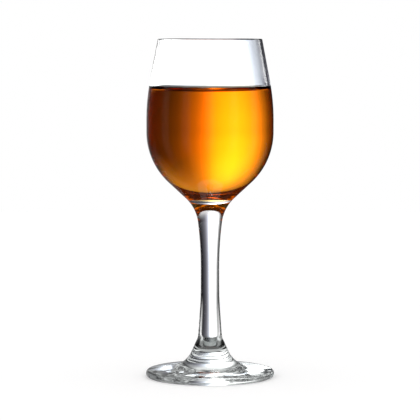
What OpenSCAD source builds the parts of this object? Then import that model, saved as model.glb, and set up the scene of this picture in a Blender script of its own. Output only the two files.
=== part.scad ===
// Stemmed sherry glass: a blown bowl, a drawn stem and a pressed foot, fused end to end,
// with a measure of sherry standing in the bowl.
// Z is up, and the origin is on the table at the centre of the foot.

/* [Foot] */
// Diameter of the foot
foot_d = 57; // [50:0.5:64]
// Thickness of the foot at its rounded edge
foot_edge_t = 3; // [2:0.1:4]
// How far the foot's upper face climbs from its edge to the flare
foot_rise = 2; // [0.8:0.1:3]
// Diameter at which the flare's side would meet the foot's upper face
flare_d = 22.2; // [18:0.2:26]
// Radius of the sweep from the foot's upper face into the flare
flare_sweep_r = 12; // [8:0.5:14]
// Height of the seam where the stem is fused to the foot
foot_h = 17.6; // [15:0.2:20]
// Diameter of the shallow dome hollowed out under the foot, inside the ring it stands on
hollow_d = 46; // [36:0.5:49]
// Height of that hollow at its centre
hollow_h = 1.4; // [0.6:0.1:2.2]

/* [Stem] */
// Length of the stem between its two seams
stem_l = 56; // [48:0.5:72]
// Diameter of the stem at its waist
waist_d = 8.2; // [6.6:0.1:10]
// Length of the straight waist
waist_l = 23.5; // [14:0.5:28]
// Height of the waist's lower end above the foot's seam
waist_lift = 17.5; // [12:0.5:20]
// Radius that eases the waist into both tapers
waist_r = 160; // [80:5:220]
// Diameter at the ankle, where the lower taper meets the foot's flare
ankle_d = 10.7; // [10:0.1:13]
// Radius that rounds the ankle
ankle_r = 8; // [3:0.5:12]
// Diameter at the neck, where the upper taper would meet the bowl's cone
neck_d = 12.2; // [10.6:0.1:15]

/* [Bowl] */
// Height of the bowl from its seam to the rim
bowl_h = 76.4; // [68:0.2:86]
// Outer diameter of the bowl at its widest
bowl_d = 56.2; // [50:0.2:62]
// Outer diameter of the rim
rim_d = 46; // [40:0.2:49]
// How far below the rim the side turns upright
taper_h = 27.2; // [22:0.2:32]
// Radius that rounds the taper into the upright side
belly_r = 92; // [40:1:110]
// Radius that rounds the upright side into the lower cone
cup_r = 30.5; // [20:0.5:31]
// Height of the lower cone between the neck and the upright side
cone_h = 20.4; // [16:0.2:24]
// Radius of the sweep from the lower cone into the stem
neck_sweep_r = 17.5; // [8:0.5:20]
// Height of the neck above the bowl's seam
neck_h = 1.7; // [0.5:0.1:3]
// Thickness of the rounded rim
rim_t = 1.1; // [0.8:0.1:1.8]
// Thickness of the side at its widest
side_t = 1.4; // [1:0.1:2.2]
// Thickness of the lower cone's wall
cone_t = 2.5; // [1.8:0.1:3.4]
// Thickness of the solid glass under the bowl's floor
floor_t = 6; // [4.5:0.1:9]
// Radius inside the bowl where the floor meets the cone
floor_r = 17; // [6:0.5:20]

/* [Sherry] */
// Depth of the sherry over the bowl's floor
fill_h = 47.2; // [30:0.2:56]
// How high the sherry climbs the wall
meniscus_h = 2.4; // [1:0.1:3]
// Distance from the wall over which that climb fades to a third
meniscus_l = 2.1; // [1:0.1:3]
// Clearance between the sherry and the wall, which lets it swirl
sherry_gap = 0.15; // [0.1:0.05:0.3]

/* [Hidden] */

turn_fn = 128; // sides of a turned shape on screen
arc_angle = 3; // degrees between the points of an arc
meniscus_steps = 12; // points along the meniscus
meniscus_lengths = 4; // lengths of meniscus_l after which the surface is taken as flat
overrun = 1; // how far a cut between heights reaches past the glass at the table and at the rim

foot_seam_z = foot_h;
bowl_seam_z = foot_seam_z + stem_l;
glass_h = bowl_seam_z + bowl_h;
waist_low_z = foot_seam_z + waist_lift;
neck_z = bowl_seam_z + neck_h;
cone_top_z = neck_z + cone_h;
belly_z = glass_h - taper_h;
floor_z = bowl_seam_z + floor_t;
fill_z = floor_z + fill_h;

// The cone widens by cone_run over cone_h, so a wall of thickness t takes t * cone_slant off its radius.
cone_run = (bowl_d - neck_d) / 2;
cone_slant = norm([cone_run, cone_h]) / cone_h;

// The hollow's roof is a dome: hollow_r is its radius, and the lines that touch it at its top and at its edge
// meet hollow_corner from the axis.
hollow_corner = (pow(hollow_d / 2, 2) + pow(hollow_h, 2)) / hollow_d;
hollow_r = hollow_corner * hollow_d / 2 / hollow_h;

// Corners are [radius, height, rounding]. These run from under the foot, round its edge and up the outside.
foot_corners = [
    [0, hollow_h, 0],
    [hollow_corner, hollow_h, hollow_r],
    [hollow_d / 2, 0, 0],
    [foot_d / 2, 0, foot_edge_t / 2],
    [foot_d / 2, foot_edge_t, foot_edge_t / 2],
    [flare_d / 2, foot_edge_t + foot_rise, flare_sweep_r],
    [ankle_d / 2, foot_seam_z, ankle_r]
];
stem_corners = [
    [waist_d / 2, waist_low_z, waist_r],
    [waist_d / 2, waist_low_z + waist_l, waist_r],
    [neck_d / 2, neck_z, neck_sweep_r]
];
bowl_corners = [
    [bowl_d / 2, cone_top_z, cup_r],
    [bowl_d / 2, belly_z, belly_r],
    [rim_d / 2, glass_h, rim_t / 2]
];

// The bowl's inside from the rim down to the middle of its floor, drawn in by gap.
function inside_corners(gap) =
    let (side = bowl_d / 2 - side_t - gap,
         cone_foot = neck_d / 2 - (cone_t + gap) * cone_slant,
         floor_level = floor_z + gap)
    [
        [rim_d / 2 - rim_t - gap, glass_h, rim_t / 2],
        [side, belly_z, belly_r - side_t - gap],
        [side, neck_z + (side - cone_foot) * cone_h / cone_run, cup_r - cone_t - gap],
        [cone_foot + (floor_level - neck_z) * cone_run / cone_h, floor_level, floor_r - gap],
        [0, floor_level, 0]
    ];

glass_corners = concat(foot_corners, stem_corners, bowl_corners, inside_corners(0));

function flat(p) = [p[0], p[1]];
function unit(v) = v / norm(v);

// Angle that a path of corners turns through at corner i, and 0 at its two ends.
function turn_angle(path, i) =
    i == 0 || i == len(path) - 1 ? 0 :
    acos(min(1, unit(flat(path[i]) - flat(path[i - 1])) * unit(flat(path[i + 1]) - flat(path[i]))));

// Length that the rounding of corner i takes off each side next to it.
function reach(path, i) = path[i][2] * tan(turn_angle(path, i) / 2);

// Share of the rounding of corner i that its two sides have room for.
function room_share(path, i, j) =
    let (wanted = reach(path, i) + reach(path, j))
    wanted == 0 ? 1 : min(1, norm(flat(path[j]) - flat(path[i])) / wanted);

// The points of the arc that rounds corner i.
function corner_arc(path, i) =
    let (angle = turn_angle(path, i),
         share = min(room_share(path, i, i - 1), room_share(path, i, i + 1)),
         radius = path[i][2] * share,
         before = unit(flat(path[i]) - flat(path[i - 1])),
         after = unit(flat(path[i + 1]) - flat(path[i])),
         start = flat(path[i]) - before * reach(path, i) * share,
         side = sign(before[0] * after[1] - before[1] * after[0]),
         centre = start + radius * side * [-before[1], before[0]],
         steps = max(1, ceil(angle / arc_angle)))
    [for (k = [0 : steps])
        let (a = side * angle * k / steps, spoke = start - centre)
        centre + [spoke[0] * cos(a) - spoke[1] * sin(a), spoke[0] * sin(a) + spoke[1] * cos(a)]];

// A path of corners as points, with every corner rounded that has a radius.
function rounded(path) =
    [for (i = [0 : len(path) - 1])
        each (turn_angle(path, i) == 0 || path[i][2] == 0 ? [flat(path[i])] : corner_arc(path, i))];

glass_outline = rounded(glass_corners);

// Radius of an outline at height z, where it has only one.
function radius_at(outline, z) = lookup(z, [for (p = outline) [p[1], p[0]]]);

// The points of an outline that lie between two heights.
function between(outline, low, high) = [for (p = outline) if (p[1] > low && p[1] < high) p];

module turned(points) {
    rotate_extrude($fn = turn_fn)
        polygon(points);
}

module foot() {
    color([0.86, 0.91, 0.92, 0.45])
        turned(concat(
            between(glass_outline, -overrun, foot_seam_z),
            [[radius_at(glass_outline, foot_seam_z), foot_seam_z], [0, foot_seam_z]]
        ));
}

module stem() {
    color([0.9, 0.94, 0.95, 0.45])
        turned(concat(
            [[0, foot_seam_z], [radius_at(glass_outline, foot_seam_z), foot_seam_z]],
            between(glass_outline, foot_seam_z, bowl_seam_z),
            [[radius_at(glass_outline, bowl_seam_z), bowl_seam_z], [0, bowl_seam_z]]
        ));
}

module bowl() {
    color([0.9, 0.94, 0.96, 0.35])
        turned(concat(
            [[0, bowl_seam_z], [radius_at(glass_outline, bowl_seam_z), bowl_seam_z]],
            between(glass_outline, bowl_seam_z, glass_h + overrun)
        ));
}

// The sherry fills the bowl's inside up to fill_z and climbs the wall in a fading curve.
module sherry() {
    wall = rounded(inside_corners(sherry_gap));
    tip_z = fill_z + meniscus_h;
    tip_r = radius_at(wall, tip_z);
    step = meniscus_l * meniscus_lengths / meniscus_steps;
    color([0.86, 0.47, 0.04, 0.85])
        turned(concat(
            [[0, fill_z]],
            [for (k = [meniscus_steps : -1 : 0])
                [tip_r - k * step, fill_z + meniscus_h * exp(-k * step / meniscus_l)]],
            between(wall, floor_z, tip_z)
        ));
}

bowl();
stem();
foot();
sherry();
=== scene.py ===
import math
from collections import namedtuple

import bmesh
import bpy
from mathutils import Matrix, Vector


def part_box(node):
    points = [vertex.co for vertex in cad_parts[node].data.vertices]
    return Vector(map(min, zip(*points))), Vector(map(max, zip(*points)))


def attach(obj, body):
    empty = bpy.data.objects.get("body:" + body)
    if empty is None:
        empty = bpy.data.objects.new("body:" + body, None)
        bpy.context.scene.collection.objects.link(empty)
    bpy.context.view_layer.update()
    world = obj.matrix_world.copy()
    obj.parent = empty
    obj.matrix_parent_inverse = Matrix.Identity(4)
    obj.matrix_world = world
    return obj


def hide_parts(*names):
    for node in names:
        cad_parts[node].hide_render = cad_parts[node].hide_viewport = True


bl_info = {
    "name": "Sherry Glass",
    "version": (1, 0, 0),
    "blender": (4, 5, 0),
    "location": "3D View > Sidebar > Sherry Glass",
    "description": "Turns a stemmed sherry glass and its sherry around the packed frame, and lights them",
    "category": "Add Mesh",
}

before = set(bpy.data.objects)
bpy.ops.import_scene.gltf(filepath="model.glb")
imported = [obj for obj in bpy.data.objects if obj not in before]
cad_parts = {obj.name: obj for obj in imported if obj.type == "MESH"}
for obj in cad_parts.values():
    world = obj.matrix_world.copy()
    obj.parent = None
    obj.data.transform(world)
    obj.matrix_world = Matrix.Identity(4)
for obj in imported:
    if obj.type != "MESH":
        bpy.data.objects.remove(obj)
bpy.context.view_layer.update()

MM = 0.001
AXIS = Vector((0, 0, 1))

# Places that the frame gives
FOOT_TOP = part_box("foot")[1]
STEM_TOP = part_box("stem")[1]
RIM_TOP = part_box("bowl")[1]
SHERRY_LOW, SHERRY_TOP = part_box("sherry")

# How finely the outlines are drawn and turned
TURN_STEPS = 192
ARC_CHORD = 0.3 * MM
FINE_ARC = math.radians(0.8)
COARSE_ARC = math.radians(8)
MENISCUS_STEPS = 28
WELD = 0.0001 * MM

# Material slots after the plain glass: the fused seams, and the bowl's wetted inside
SEAM_SLOT = 1
WET_SLOT = 2

# A face looks off the axis when more than this share of its normal does
OFF_AXIS = 0.02


def angles(start, end):
    """The two angles, given in degrees, between which something fades."""
    return math.radians(start), math.radians(end)


# The softbox behind the glass and the dark cloth on its right, as degrees from straight behind and light
SOFTBOX = (
    (-70, 0.1),
    (-55, 0.1),
    (-48, 0.2),
    (-42, 0.42),
    (-35, 1.0),
    (-29, 1.85),
    (-25, 2.7),
    (-21, 3.5),
    (-16.5, 4.6),
    (-12, 5.5),
    (-8, 5.4),
    (-4, 4.7),
    (-1.5, 3.8),
    (1, 2.5),
    (3, 1.75),
    (5, 1.25),
    (7, 0.93),
    (11, 0.48),
    (16, 0.26),
    (21, 0.155),
    (28, 0.09),
    (35, 0.05),
    (45, 0.02),
    (70, 0.02),
)
SOFTBOX_SPAN = math.radians(180)
SOFTBOX_PEAK = 5.5
RAMP_MIDDLE = 0.5
EDGE_START = 0
EDGE_TINT = (0.94, 0.99, 1.1)
CLOTH_START = 8
CLOTH_TINT = (0.97, 0.96, 1.12)

# How the softbox fades below level, first a little and then nearly out
SOFTBOX_HEIGHT = angles(-14, 2)
SOFTBOX_LOW = 0.5
SOFTBOX_END = angles(-34, -24)
SOFTBOX_BELOW = 0.12

# The lit strips round the glass, and how they fade towards its back, its front, the cloth and the table
STRIPS = 8
STRIP_EDGE = (-0.2, 1.0)
STRIP_LIGHT = 1.1
MIDDLE_EDGE = angles(15, 25)
NEAR_EDGE = angles(50, 82)
NEAR_STRIPS = 0.65
FAR_EDGE = angles(150, 110)
FAR_STRIPS = 0.85
CLOTH_EDGE = angles(62, 74)
TABLE_EDGE = angles(-8.5, -15.5)

# The shade low in front of the glass
SHADE_EDGE = angles(-24, -36)
FRONT_EDGE = angles(75, 100)
FRONT_SHADE = 0.25

# The ceiling, darker to both sides and straight up, and the table straight down
CEILING_EDGE = angles(8, 42)
CEILING_TURN = (-0.5, 0.6)
CEILING_LIGHT = 0.95
CEILING_SIDES = 0.12
ZENITH_EDGE = angles(43, 54)
ZENITH_LIGHT = 0.06
BELOW_EDGE = angles(-48, -60)
BELOW_LIGHT = 0.5

# Light on what is mirrored and on what is matt, and the floor's own
MIRRORED_LIGHT = 0.07
PLAIN_LIGHT = 1.0
FLOOR_SHADE = 0.8
FLOOR_GLOW = 0.24
LIGHT_BOUNCES = 24
SENSOR_WIDTH = 36

Corner = namedtuple("Corner", "r z bend")
Way = namedtuple("Way", "around aside up")


# Properties

def length(name, description, default):
    """A size in metres that the sidebar shows as a length."""
    return bpy.props.FloatProperty(
        name=name,
        description=description,
        default=default,
        min=0,
        precision=5,
        unit="LENGTH",
        subtype="DISTANCE",
    )


def tint(name, description, default):
    """A colour that the sidebar shows as a swatch."""
    return bpy.props.FloatVectorProperty(
        name=name, description=description, default=default, size=3, min=0, max=1, subtype="COLOR"
    )


def amount(name, description, default):
    """A plain number."""
    return bpy.props.FloatProperty(name=name, description=description, default=default, min=0)


class GlassShape(bpy.types.PropertyGroup):
    """Sizes of the glass, from the foot up"""

    foot_d: length("Foot diameter", "Across the foot", 2 * FOOT_TOP.x)
    foot_edge_t: length("Foot edge", "Thickness of the foot at its rounded edge", 3 * MM)
    foot_rise: length("Foot rise", "How far the foot's upper face climbs to the flare", 2 * MM)
    flare_d: length("Flare diameter", "Where the flare's side would meet the foot", 22.2 * MM)
    flare_sweep_r: length("Flare sweep", "Radius from the foot's upper face into the flare", 12 * MM)
    hollow_d: length("Hollow diameter", "Across the dome under the foot", 46 * MM)
    hollow_h: length("Hollow height", "Height of the dome under the foot", 1.4 * MM)
    waist_d: length("Waist diameter", "Across the stem at its waist", 8.2 * MM)
    waist_l: length("Waist length", "Length of the straight waist", 23.5 * MM)
    waist_lift: length("Waist lift", "Height of the waist above the foot's seam", 17.5 * MM)
    waist_r: length("Waist easing", "Radius that eases the waist into its tapers", 160 * MM)
    ankle_d: length("Ankle diameter", "Across the ankle", 10.7 * MM)
    ankle_r: length("Ankle rounding", "Radius that rounds the ankle", 8 * MM)
    neck_d: length("Neck diameter", "Where the upper taper would meet the cone", 12.2 * MM)
    neck_h: length("Neck height", "Height of the neck above the bowl's seam", 1.7 * MM)
    neck_sweep_r: length("Neck sweep", "Radius from the cone into the stem", 17.5 * MM)
    cone_h: length("Cone height", "Height of the bowl's lower cone", 20.4 * MM)
    cup_r: length("Cup rounding", "Radius from the upright side into the cone", 30.5 * MM)
    bowl_d: length("Bowl diameter", "Across the bowl at its widest", 2 * RIM_TOP.x)
    taper_h: length("Taper height", "How far below the rim the side turns upright", 27.2 * MM)
    belly_r: length("Belly rounding", "Radius from the taper into the upright side", 92 * MM)
    rim_d: length("Rim diameter", "Across the rim", 46 * MM)
    rim_t: length("Rim thickness", "Thickness of the rounded rim", 1.1 * MM)
    side_t: length("Side thickness", "Thickness of the side at its widest", 1.4 * MM)
    cone_t: length("Cone thickness", "Thickness of the lower cone's wall", 2.5 * MM)
    floor_r: length("Floor rounding", "Radius where the floor meets the cone inside", 17 * MM)


class SherryShape(bpy.types.PropertyGroup):
    """Sizes of the drink"""

    meniscus_h: length("Meniscus height", "How high the sherry climbs the wall", 2.4 * MM)
    meniscus_l: length("Meniscus reach", "Over which the climb fades to a third", 2.1 * MM)
    clearance: length("Clearance", "Between the frame's sherry and the wall", 0.15 * MM)
    film: length("Film", "Clearance between the sherry that is seen and the wall", 0.03 * MM)


class Finish(bpy.types.PropertyGroup):
    """Colours and optics of the glass and the drink"""

    glass_tint: tint("Glass tint", "Colour of the bowl and the stem", (0.985, 0.992, 0.992))
    foot_tint: tint("Foot tint", "Colour of the thicker foot", (0.95, 0.985, 0.978))
    wave_h: length("Foot waviness", "Height of the waves that pressing leaves on the foot", 0.3 * MM)
    wave_l: length("Foot wave length", "How far apart those waves are", 11 * MM)
    glass_ior: amount("Glass index", "Refractive index of the glass", 1.52)
    sherry_tint: tint("Sherry tint", "Colour that the sherry lets through", (0.972, 0.71, 0.0))
    sherry_depth: amount("Sherry depth", "How strongly the sherry colours light, per metre", 130)
    sherry_ior: amount("Sherry index", "Refractive index of the sherry", 1.35)


class StageSetup(bpy.types.PropertyGroup):
    """The floor and the camera"""

    floor_r: length("Floor radius", "Radius of the round floor", 0.9)
    camera_far: length("Camera distance", "From the glass's axis", 1.02)
    camera_h: length("Camera height", "Above the floor", 0.158)
    camera_dip: bpy.props.FloatProperty(
        name="Camera dip", description="Angle below level", default=math.radians(4.69), subtype="ANGLE"
    )
    lens: amount("Lens", "Focal length in millimetres", 197.9)


# Outlines

def foot_corners(shape):
    """From under the middle of the foot, round its edge and up the flare to the ankle."""
    hollow = shape.hollow_d / 2
    dome_corner = (hollow ** 2 + shape.hollow_h ** 2) / (2 * hollow)
    return [
        Corner(0, shape.hollow_h, 0),
        Corner(dome_corner, shape.hollow_h, dome_corner * hollow / shape.hollow_h),
        Corner(hollow, 0, 0),
        Corner(shape.foot_d / 2, 0, shape.foot_edge_t / 2),
        Corner(shape.foot_d / 2, shape.foot_edge_t, shape.foot_edge_t / 2),
        Corner(shape.flare_d / 2, shape.foot_edge_t + shape.foot_rise, shape.flare_sweep_r),
        Corner(shape.ankle_d / 2, FOOT_TOP.z, shape.ankle_r),
    ]


def stem_corners(shape):
    """From the waist up to the neck."""
    waist_low = FOOT_TOP.z + shape.waist_lift
    return [
        Corner(shape.waist_d / 2, waist_low, shape.waist_r),
        Corner(shape.waist_d / 2, waist_low + shape.waist_l, shape.waist_r),
        Corner(shape.neck_d / 2, STEM_TOP.z + shape.neck_h, shape.neck_sweep_r),
    ]


def bowl_corners(shape):
    """From the cone's upper end up to the rim."""
    return [
        Corner(shape.bowl_d / 2, STEM_TOP.z + shape.neck_h + shape.cone_h, shape.cup_r),
        Corner(shape.bowl_d / 2, RIM_TOP.z - shape.taper_h, shape.belly_r),
        Corner(shape.rim_d / 2, RIM_TOP.z, shape.rim_t / 2),
    ]


def inside_corners(shape, clearance, gap):
    """The bowl's inside, from the rim down to the middle of its floor, drawn in by gap."""
    neck_z = STEM_TOP.z + shape.neck_h
    slope = shape.cone_h / ((shape.bowl_d - shape.neck_d) / 2)
    slant = math.hypot(1, slope) / slope
    side = shape.bowl_d / 2 - shape.side_t - gap
    cone_foot = shape.neck_d / 2 - (shape.cone_t + gap) * slant
    floor_z = SHERRY_LOW.z - clearance + gap
    return [
        Corner(shape.rim_d / 2 - shape.rim_t - gap, RIM_TOP.z, shape.rim_t / 2),
        Corner(side, RIM_TOP.z - shape.taper_h, shape.belly_r - shape.side_t - gap),
        Corner(side, neck_z + (side - cone_foot) * slope, shape.cup_r - shape.cone_t - gap),
        Corner(cone_foot + (floor_z - neck_z) / slope, floor_z, shape.floor_r - gap),
        Corner(0, floor_z, 0),
    ]


def glass_corners(shape, clearance):
    """The whole glass in one line, from under the foot round to the middle of the bowl's floor."""
    outside = foot_corners(shape) + stem_corners(shape) + bowl_corners(shape)
    return outside + inside_corners(shape, clearance, 0)


def place_of(corner):
    return Vector((corner.r, 0, corner.z))


def turn_at(corners, i):
    """The angle that a path turns through at corner i, and 0 at its ends."""
    if i in (0, len(corners) - 1):
        return 0.0
    here = place_of(corners[i])
    return (here - place_of(corners[i - 1])).angle(place_of(corners[i + 1]) - here)


def reach_at(corners, i):
    """The length that the rounding of corner i takes off each side next to it."""
    return corners[i].bend * math.tan(turn_at(corners, i) / 2)


def room_at(corners, i):
    """The share of the rounding of corner i that its two sides have room for."""
    room = 1.0
    for j in (i - 1, i + 1):
        wanted = reach_at(corners, i) + reach_at(corners, j)
        if wanted > 0:
            room = min(room, (place_of(corners[j]) - place_of(corners[i])).length / wanted)
    return room


def arc_steps(radius, turn):
    """Steps for an arc: about ARC_CHORD long, but no finer or coarser than the two angles."""
    wanted = radius * turn / ARC_CHORD
    return math.ceil(max(turn / COARSE_ARC, min(turn / FINE_ARC, wanted)))


def extend(bm, tip, place):
    """A straight stretch of wire from its tip to a place, which is the new tip."""
    tip = bmesh.ops.extrude_vert_indiv(bm, verts=[tip])["verts"][0]
    tip.co = place
    return tip


def draw(bm, corners):
    """A wire along a path of corners, with an arc at every corner that has a rounding."""
    tip = bmesh.ops.create_vert(bm, co=place_of(corners[0]))["vert"][0]
    for i in range(1, len(corners)):
        here = place_of(corners[i])
        turn = turn_at(corners, i)
        if turn == 0 or corners[i].bend == 0:
            tip = extend(bm, tip, here)
            continue
        before = (here - place_of(corners[i - 1])).normalized()
        after = (place_of(corners[i + 1]) - here).normalized()
        room = room_at(corners, i)
        radius = corners[i].bend * room
        start = here - before * reach_at(corners, i) * room
        axis = before.cross(after).normalized()
        tip = extend(bm, tip, start)
        swept = bmesh.ops.spin(
            bm,
            geom=[tip],
            cent=start + axis.cross(before) * radius,
            axis=axis,
            dvec=(0, 0, 0),
            angle=turn,
            steps=arc_steps(radius, turn),
            use_merge=False,
        )
        tip = next(e for e in swept["geom_last"] if isinstance(e, bmesh.types.BMVert))
    bmesh.ops.remove_doubles(bm, verts=bm.verts[:], dist=WELD)


def cut_off(bm, z, above):
    """Clears the wire above or below a height."""
    bmesh.ops.bisect_plane(
        bm,
        geom=bm.verts[:] + bm.edges[:],
        dist=WELD,
        plane_co=AXIS * z,
        plane_no=AXIS,
        clear_outer=above,
        clear_inner=not above,
    )


def open_ends(bm):
    """The wire's ends that stand off the axis."""
    return [v for v in bm.verts if len(v.link_edges) == 1 and v.co.x > WELD]


def turn_solid(bm):
    """Turns the wire about the axis into a closed solid with its faces outwards."""
    bmesh.ops.spin(
        bm,
        geom=bm.verts[:] + bm.edges[:],
        cent=(0, 0, 0),
        axis=AXIS,
        dvec=(0, 0, 0),
        angle=math.tau,
        steps=TURN_STEPS,
        use_merge=True,
    )
    bmesh.ops.remove_doubles(bm, verts=bm.verts[:], dist=WELD)
    bmesh.ops.recalc_face_normals(bm, faces=bm.faces[:])


def mark_seam(bm, z):
    """Gives the flat face at a fused seam its material, and keeps its edge out of the smooth shading."""
    for face in bm.faces:
        if all(abs(v.co.z - z) < WELD for v in face.verts):
            face.material_index = SEAM_SLOT
    for edge in bm.edges:
        if len({face.material_index for face in edge.link_faces}) == 2:
            edge.smooth = False


def finish_piece(context, bm, name, body, node, materials):
    """Links the solid as a smooth-shaded object that rides on its body and stands for its node."""
    for face in bm.faces:
        face.smooth = True
    mesh = bpy.data.meshes.new(name)
    bm.to_mesh(mesh)
    bm.free()
    for material in materials:
        mesh.materials.append(material)
    piece = bpy.data.objects.new(name, mesh)
    context.scene.collection.objects.link(piece)
    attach(piece, body)
    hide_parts(node)
    return piece


def off_axis(face):
    """The share of a face's normal that points away from the axis."""
    middle = face.calc_center_median()
    return face.normal.dot(Vector((middle.x, middle.y, 0)).normalized())


def mark_wetted(bm, low, high):
    """Gives the bowl's inside between two heights the material of wetted glass."""
    for face in bm.faces:
        if off_axis(face) < OFF_AXIS and low < face.calc_center_median().z < high:
            face.material_index = WET_SLOT


def glass_solid(context, seams, low=None, high=None):
    """The stretch of the glass between two heights, closed at its seams and turned.

    The bowl, which has no upper seam, gets an edge at the contact line, up to which it is wetted.
    """
    scene = context.scene
    bm = bmesh.new()
    draw(bm, glass_corners(scene.glass_shape, scene.sherry_shape.clearance))
    if low is not None:
        cut_off(bm, low, above=False)
    if high is not None:
        cut_off(bm, high, above=True)
    else:
        bmesh.ops.bisect_plane(
            bm, geom=bm.verts[:] + bm.edges[:], dist=WELD, plane_co=AXIS * SHERRY_TOP.z, plane_no=AXIS
        )
    for end in open_ends(bm):
        extend(bm, end, AXIS * end.co.z)
    turn_solid(bm)
    for z in seams:
        mark_seam(bm, z)
    return bm


def sherry_solid(context):
    """The bowl's inside up to the surface, with the meniscus that climbs the wall."""
    shape = context.scene.glass_shape
    sherry = context.scene.sherry_shape
    bm = bmesh.new()
    draw(bm, inside_corners(shape, sherry.clearance, sherry.film))
    cut_off(bm, SHERRY_TOP.z, above=True)
    tip = open_ends(bm)[0]
    wall_r = tip.co.x
    fill_z = SHERRY_TOP.z - sherry.meniscus_h
    for i in range(1, MENISCUS_STEPS + 1):
        off_wall = wall_r * (i / MENISCUS_STEPS) ** 2
        climb = sherry.meniscus_h * math.exp(-off_wall / sherry.meniscus_l)
        tip = extend(bm, tip, Vector((wall_r - off_wall, 0, fill_z + climb)))
    turn_solid(bm)
    wetted = bm.faces.layers.float.new("wetted")
    for face in bm.faces:
        face[wetted] = 1.0 if off_axis(face) > OFF_AXIS or face.normal.z < 0 else 0.0
    return bm


# Nodes

def feed(tree, sockets, values):
    """Gives each socket a link from another socket, or a plain value."""
    for socket, value in zip(sockets, values):
        if isinstance(value, bpy.types.NodeSocket):
            tree.links.new(value, socket)
        else:
            socket.default_value = value


def calculate(tree, operation, *values, clamp=False):
    """The result of a Math node on sockets or plain numbers."""
    node = tree.nodes.new("ShaderNodeMath")
    node.operation = operation
    node.use_clamp = clamp
    feed(tree, node.inputs, values)
    return node.outputs["Value"]


def product(tree, result, *others):
    """The product of sockets or plain numbers."""
    for other in others:
        result = calculate(tree, "MULTIPLY", result, other)
    return result


def fade(tree, value, ends):
    """Rises smoothly from 0 to 1 while a value goes from one end to the other."""
    node = tree.nodes.new("ShaderNodeMapRange")
    node.interpolation_type = "SMOOTHSTEP"
    sockets = [node.inputs[name] for name in ("Value", "From Min", "From Max")]
    feed(tree, sockets, (value, *ends))
    return node.outputs["Result"]


def fade_between(tree, value, ends, before, after):
    """Goes smoothly from one level to another while a value goes from one end to the other."""
    return calculate(tree, "MULTIPLY_ADD", fade(tree, value, ends), after - before, before)


def mixed(tree, share, low, high):
    """A share of the way from one colour to another, each a socket or a plain value."""
    node = tree.nodes.new("ShaderNodeMix")
    node.data_type = "RGBA"
    feed(tree, [socket for socket in node.inputs if socket.enabled], (share, low, high))
    return next(socket for socket in node.outputs if socket.enabled)


def grey(level):
    return (level, level, level, 1)


# Materials

def new_material(name):
    """A material, its node tree, and the output that is all there is in it."""
    material = bpy.data.materials.new(name)
    material.use_nodes = True
    tree = material.node_tree
    tree.nodes.clear()
    return material, tree, tree.nodes.new("ShaderNodeOutputMaterial")


def clear_shader(tree, output, colour, index):
    """A Principled BSDF that lets light through, on the material's surface."""
    shader = tree.nodes.new("ShaderNodeBsdfPrincipled")
    shader.inputs["Base Color"].default_value = (*colour, 1)
    shader.inputs["Roughness"].default_value = 0
    shader.inputs["IOR"].default_value = index
    shader.inputs["Transmission Weight"].default_value = 1
    tree.links.new(shader.outputs["BSDF"], output.inputs["Surface"])
    return shader


def wavy_normal(tree, height, spacing):
    """The normal of a surface with slow irregular waves, as pressing leaves them."""
    place = tree.nodes.new("ShaderNodeTexCoord")
    noise = tree.nodes.new("ShaderNodeTexNoise")
    noise.inputs["Scale"].default_value = 1 / spacing
    noise.inputs["Detail"].default_value = 1
    bump = tree.nodes.new("ShaderNodeBump")
    bump.inputs["Strength"].default_value = 1
    bump.inputs["Distance"].default_value = height
    tree.links.new(place.outputs["Object"], noise.inputs["Vector"])
    tree.links.new(noise.outputs["Fac"], bump.inputs["Height"])
    return bump.outputs["Normal"]


def glass_material(name, colour, index, waves=None):
    """Clear glass, fire polished, or with the height and spacing of the waves that pressing leaves."""
    material, tree, output = new_material(name)
    shader = clear_shader(tree, output, colour, index)
    if waves:
        tree.links.new(wavy_normal(tree, *waves), shader.inputs["Normal"])
    return material


def seam_material():
    """Where two pieces of glass are fused there is no surface left to see."""
    material, tree, output = new_material("fused_seam")
    shader = tree.nodes.new("ShaderNodeBsdfTransparent")
    tree.links.new(shader.outputs["BSDF"], output.inputs["Surface"])
    return material


def sherry_material(finish):
    """Clear amber liquid that colours light by how much of it the light crosses.

    Its wetted faces have no index, because the glass that they wet has the index of glass against sherry.
    """
    material, tree, output = new_material("amber_sherry")
    shader = clear_shader(tree, output, (1, 1, 1), finish.sherry_ior)
    depth = tree.nodes.new("ShaderNodeVolumeAbsorption")
    depth.inputs["Color"].default_value = (*finish.sherry_tint, 1)
    depth.inputs["Density"].default_value = finish.sherry_depth
    wetted = tree.nodes.new("ShaderNodeAttribute")
    wetted.attribute_name = "wetted"
    index = tree.nodes.new("ShaderNodeMapRange")
    index.inputs["To Min"].default_value = finish.sherry_ior
    index.inputs["To Max"].default_value = 1
    tree.links.new(wetted.outputs["Fac"], index.inputs["Value"])
    tree.links.new(index.outputs["Result"], shader.inputs["IOR"])
    tree.links.new(depth.outputs["Volume"], output.inputs["Volume"])
    return material


def floor_material():
    """Pale matt floor, white to the camera but for the shadow, that lets pass what the glass bends."""
    material, tree, output = new_material("pale_floor")
    matt = tree.nodes.new("ShaderNodeBsdfDiffuse")
    matt.inputs["Color"].default_value = grey(FLOOR_SHADE)
    path = tree.nodes.new("ShaderNodeLightPath").outputs
    glow = tree.nodes.new("ShaderNodeEmission")
    tree.links.new(product(tree, path["Is Camera Ray"], FLOOR_GLOW), glow.inputs["Strength"])
    lit = tree.nodes.new("ShaderNodeAddShader")
    feed(tree, lit.inputs, (matt.outputs["BSDF"], glow.outputs["Emission"]))
    clear = tree.nodes.new("ShaderNodeBsdfTransparent")
    bent = calculate(tree, "MAXIMUM", path["Is Transmission Ray"], path["Is Glossy Ray"])
    pick = tree.nodes.new("ShaderNodeMixShader")
    feed(tree, pick.inputs, (bent, lit.outputs["Shader"], clear.outputs["BSDF"]))
    tree.links.new(pick.outputs["Shader"], output.inputs["Surface"])
    return material


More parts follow.
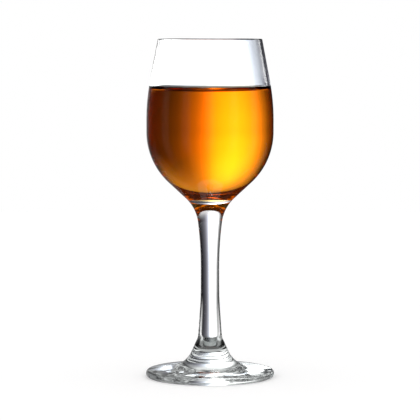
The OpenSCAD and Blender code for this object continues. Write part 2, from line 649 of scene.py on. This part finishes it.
# The studio, which is seen only in what the glass bends or mirrors

def softbox_tint(degrees):
    """Plain in the middle, cool at the right edge, and bluish on the cloth."""
    if degrees > CLOTH_START:
        return CLOTH_TINT
    if degrees > EDGE_START:
        return EDGE_TINT
    return (1, 1, 1)


def softbox_light(tree, way):
    """The softbox behind the glass, which fades to dark cloth on its right, and fades out below level."""
    ramp = tree.nodes.new("ShaderNodeValToRGB")
    share = calculate(tree, "MULTIPLY_ADD", way.around, 1 / SOFTBOX_SPAN, RAMP_MIDDLE, clamp=True)
    tree.links.new(share, ramp.inputs["Fac"])
    stops = ramp.color_ramp.elements
    for i, (degrees, light) in enumerate(SOFTBOX):
        place = RAMP_MIDDLE + math.radians(degrees) / SOFTBOX_SPAN
        stop = stops[i] if i < len(stops) else stops.new(place)
        stop.position = place
        stop.color = (*[light * c / SOFTBOX_PEAK for c in softbox_tint(degrees)], 1)
    height = fade_between(tree, way.up, SOFTBOX_HEIGHT, SOFTBOX_LOW, 1)
    lowest = fade_between(tree, way.up, SOFTBOX_END, SOFTBOX_BELOW, 1)
    softbox = tree.nodes.new("ShaderNodeVectorMath")
    softbox.operation = "SCALE"
    tree.links.new(ramp.outputs["Color"], softbox.inputs["Vector"])
    tree.links.new(product(tree, height, lowest, SOFTBOX_PEAK), softbox.inputs["Scale"])
    return softbox.outputs["Vector"]


def strip_light(tree, way):
    """Lit strips with dark ones between them, all round but for the softbox and the cloth."""
    wave = calculate(tree, "COSINE", product(tree, way.around, STRIPS))
    low = fade(tree, way.up, TABLE_EDGE)
    near = fade_between(tree, way.aside, NEAR_EDGE, NEAR_STRIPS, 1)
    off_cloth = fade(tree, way.aside, CLOTH_EDGE)
    return product(
        tree,
        fade(tree, wave, STRIP_EDGE),
        STRIP_LIGHT,
        fade(tree, way.aside, MIDDLE_EDGE),
        calculate(tree, "MAXIMUM", near, low),
        fade_between(tree, way.aside, FAR_EDGE, FAR_STRIPS, 1),
        calculate(tree, "MAXIMUM", off_cloth, low),
    )


def front_shade(tree, way):
    """What the shade low in front of the glass leaves of the light."""
    shade = product(tree, fade(tree, way.up, SHADE_EDGE), fade(tree, way.aside, FRONT_EDGE))
    return calculate(tree, "MULTIPLY_ADD", shade, FRONT_SHADE - 1, 1)


def studio_group():
    """The studio round the glass, as the light that comes from each direction."""
    group = bpy.data.node_groups.new("studio_light", "ShaderNodeTree")
    group.interface.new_socket("Direction", in_out="INPUT", socket_type="NodeSocketVector")
    group.interface.new_socket("Light", in_out="OUTPUT", socket_type="NodeSocketColor")
    split = group.nodes.new("ShaderNodeSeparateXYZ")
    group.links.new(group.nodes.new("NodeGroupInput").outputs["Direction"], split.inputs["Vector"])
    around = calculate(group, "ARCTAN2", split.outputs["X"], split.outputs["Y"])
    up = calculate(group, "ARCSINE", split.outputs["Z"])
    way = Way(around, calculate(group, "ABSOLUTE", around), up)

    shade = front_shade(group, way)
    brightest = group.nodes.new("ShaderNodeVectorMath")
    brightest.operation = "MAXIMUM"
    strips = product(group, strip_light(group, way), shade)
    feed(group, brightest.inputs, (softbox_light(group, way), strips))
    light = brightest.outputs["Vector"]

    sides = calculate(group, "COSINE", product(group, around, 2))
    ceiling = fade_between(group, sides, CEILING_TURN, CEILING_SIDES, CEILING_LIGHT)
    for ends, level in (
        (CEILING_EDGE, ceiling),
        (ZENITH_EDGE, grey(ZENITH_LIGHT)),
        (BELOW_EDGE, product(group, shade, BELOW_LIGHT)),
    ):
        light = mixed(group, fade(group, up, ends), light, level)
    group.links.new(light, group.nodes.new("NodeGroupOutput").inputs["Light"])
    return group


def studio_world(world):
    """White to the camera, plain to what is matt, and the studio to what the glass bends or mirrors."""
    world.use_nodes = True
    tree = world.node_tree
    tree.nodes.clear()
    studio = tree.nodes.new("ShaderNodeGroup")
    studio.node_tree = studio_group()
    place = tree.nodes.new("ShaderNodeTexCoord")
    tree.links.new(place.outputs["Generated"], studio.inputs["Direction"])
    bent = studio.outputs["Light"]
    mirrored = mixed(tree, MIRRORED_LIGHT, grey(0), bent)
    path = tree.nodes.new("ShaderNodeLightPath").outputs
    light = grey(PLAIN_LIGHT)
    for ray, seen in (
        ("Is Glossy Ray", mirrored),
        ("Is Transmission Ray", bent),
        ("Is Camera Ray", grey(1)),
    ):
        light = mixed(tree, path[ray], light, seen)
    background = tree.nodes.new("ShaderNodeBackground")
    tree.links.new(light, background.inputs["Color"])
    output = tree.nodes.new("ShaderNodeOutputWorld")
    tree.links.new(background.outputs["Background"], output.inputs["Surface"])


# Operators

class GLASS_OT_foot(bpy.types.Operator):
    """Turn the foot with its flare"""

    bl_idname = "sherry_glass.foot"
    bl_label = "Foot"

    def execute(self, context):
        finish = context.scene.glass_finish
        bm = glass_solid(context, [FOOT_TOP.z], high=FOOT_TOP.z)
        waves = (finish.wave_h, finish.wave_l)
        glass = glass_material("foot_glass", finish.foot_tint, finish.glass_ior, waves)
        finish_piece(context, bm, "foot_glass", "glass", "foot", [glass, seam_material()])
        return {"FINISHED"}


class GLASS_OT_stem(bpy.types.Operator):
    """Turn the drawn stem"""

    bl_idname = "sherry_glass.stem"
    bl_label = "Stem"

    def execute(self, context):
        finish = context.scene.glass_finish
        bm = glass_solid(context, [FOOT_TOP.z, STEM_TOP.z], low=FOOT_TOP.z, high=STEM_TOP.z)
        glass = glass_material("stem_glass", finish.glass_tint, finish.glass_ior)
        finish_piece(context, bm, "stem_glass", "glass", "stem", [glass, seam_material()])
        return {"FINISHED"}


class GLASS_OT_bowl(bpy.types.Operator):
    """Turn the bowl with its rounded rim"""

    bl_idname = "sherry_glass.bowl"
    bl_label = "Bowl"

    def execute(self, context):
        finish = context.scene.glass_finish
        bm = glass_solid(context, [STEM_TOP.z], low=STEM_TOP.z)
        glass = glass_material("bowl_glass", finish.glass_tint, finish.glass_ior)
        shape = context.scene.sherry_shape
        mark_wetted(bm, SHERRY_LOW.z - shape.clearance - WELD, SHERRY_TOP.z)
        wet = glass_material("wetted_glass", finish.glass_tint, finish.glass_ior / finish.sherry_ior)
        materials = [glass, seam_material(), wet]
        finish_piece(context, bm, "bowl_glass", "glass", "bowl", materials)
        return {"FINISHED"}


class GLASS_OT_sherry(bpy.types.Operator):
    """Fill the bowl with sherry"""

    bl_idname = "sherry_glass.sherry"
    bl_label = "Sherry"

    def execute(self, context):
        bm = sherry_solid(context)
        amber = sherry_material(context.scene.glass_finish)
        finish_piece(context, bm, "sherry_drink", "drink", "sherry", [amber])
        return {"FINISHED"}


class GLASS_OT_stage(bpy.types.Operator):
    """Lay the floor and set the light and the camera"""

    bl_idname = "sherry_glass.stage"
    bl_label = "Stage"

    def execute(self, context):
        setup = context.scene.glass_stage
        bm = bmesh.new()
        bmesh.ops.create_circle(bm, cap_ends=True, segments=TURN_STEPS, radius=setup.floor_r)
        mesh = bpy.data.meshes.new("floor")
        bm.to_mesh(mesh)
        bm.free()
        mesh.materials.append(floor_material())
        floor = bpy.data.objects.new("floor", mesh)
        context.scene.collection.objects.link(floor)

        camera_data = bpy.data.cameras.new("camera")
        camera_data.lens = setup.lens
        camera_data.sensor_width = SENSOR_WIDTH
        camera = bpy.data.objects.new("camera", camera_data)
        camera.location = (0, -setup.camera_far, setup.camera_h)
        camera.rotation_euler = (math.pi / 2 - setup.camera_dip, 0, 0)
        context.scene.collection.objects.link(camera)
        context.scene.camera = camera
        context.scene.view_settings.view_transform = "Standard"

        world = bpy.data.worlds.new("studio")
        context.scene.world = world
        studio_world(world)
        cycles = context.scene.cycles
        cycles.max_bounces = LIGHT_BOUNCES
        cycles.transmission_bounces = LIGHT_BOUNCES
        cycles.glossy_bounces = LIGHT_BOUNCES
        cycles.transparent_max_bounces = LIGHT_BOUNCES
        return {"FINISHED"}


class GLASS_PT_panel(bpy.types.Panel):
    """Buttons for every piece, and their sizes"""

    bl_idname = "GLASS_PT_panel"
    bl_label = "Sherry Glass"
    bl_space_type = "VIEW_3D"
    bl_region_type = "UI"
    bl_category = "Sherry Glass"

    def draw(self, context):
        column = self.layout.column()
        for operator in OPERATORS:
            column.operator(operator.bl_idname)
        for group in (context.scene.glass_shape, context.scene.sherry_shape, context.scene.glass_finish,
                      context.scene.glass_stage):
            for name in group.bl_rna.properties.keys():
                if name not in ("rna_type", "name"):
                    column.prop(group, name)


GROUPS = {
    "glass_shape": GlassShape,
    "sherry_shape": SherryShape,
    "glass_finish": Finish,
    "glass_stage": StageSetup,
}
OPERATORS = (GLASS_OT_foot, GLASS_OT_stem, GLASS_OT_bowl, GLASS_OT_sherry, GLASS_OT_stage)


def register():
    for name, group in GROUPS.items():
        bpy.utils.register_class(group)
        setattr(bpy.types.Scene, name, bpy.props.PointerProperty(type=group))
    for operator in OPERATORS:
        bpy.utils.register_class(operator)
    bpy.utils.register_class(GLASS_PT_panel)


def unregister():
    bpy.utils.unregister_class(GLASS_PT_panel)
    for operator in reversed(OPERATORS):
        bpy.utils.unregister_class(operator)
    for name, group in reversed(GROUPS.items()):
        delattr(bpy.types.Scene, name)
        bpy.utils.unregister_class(group)


def main():
    register()
    bpy.ops.sherry_glass.foot()
    bpy.ops.sherry_glass.stem()
    bpy.ops.sherry_glass.bowl()
    bpy.ops.sherry_glass.sherry()
    bpy.ops.sherry_glass.stage()


if __name__ == "__main__":
    main()
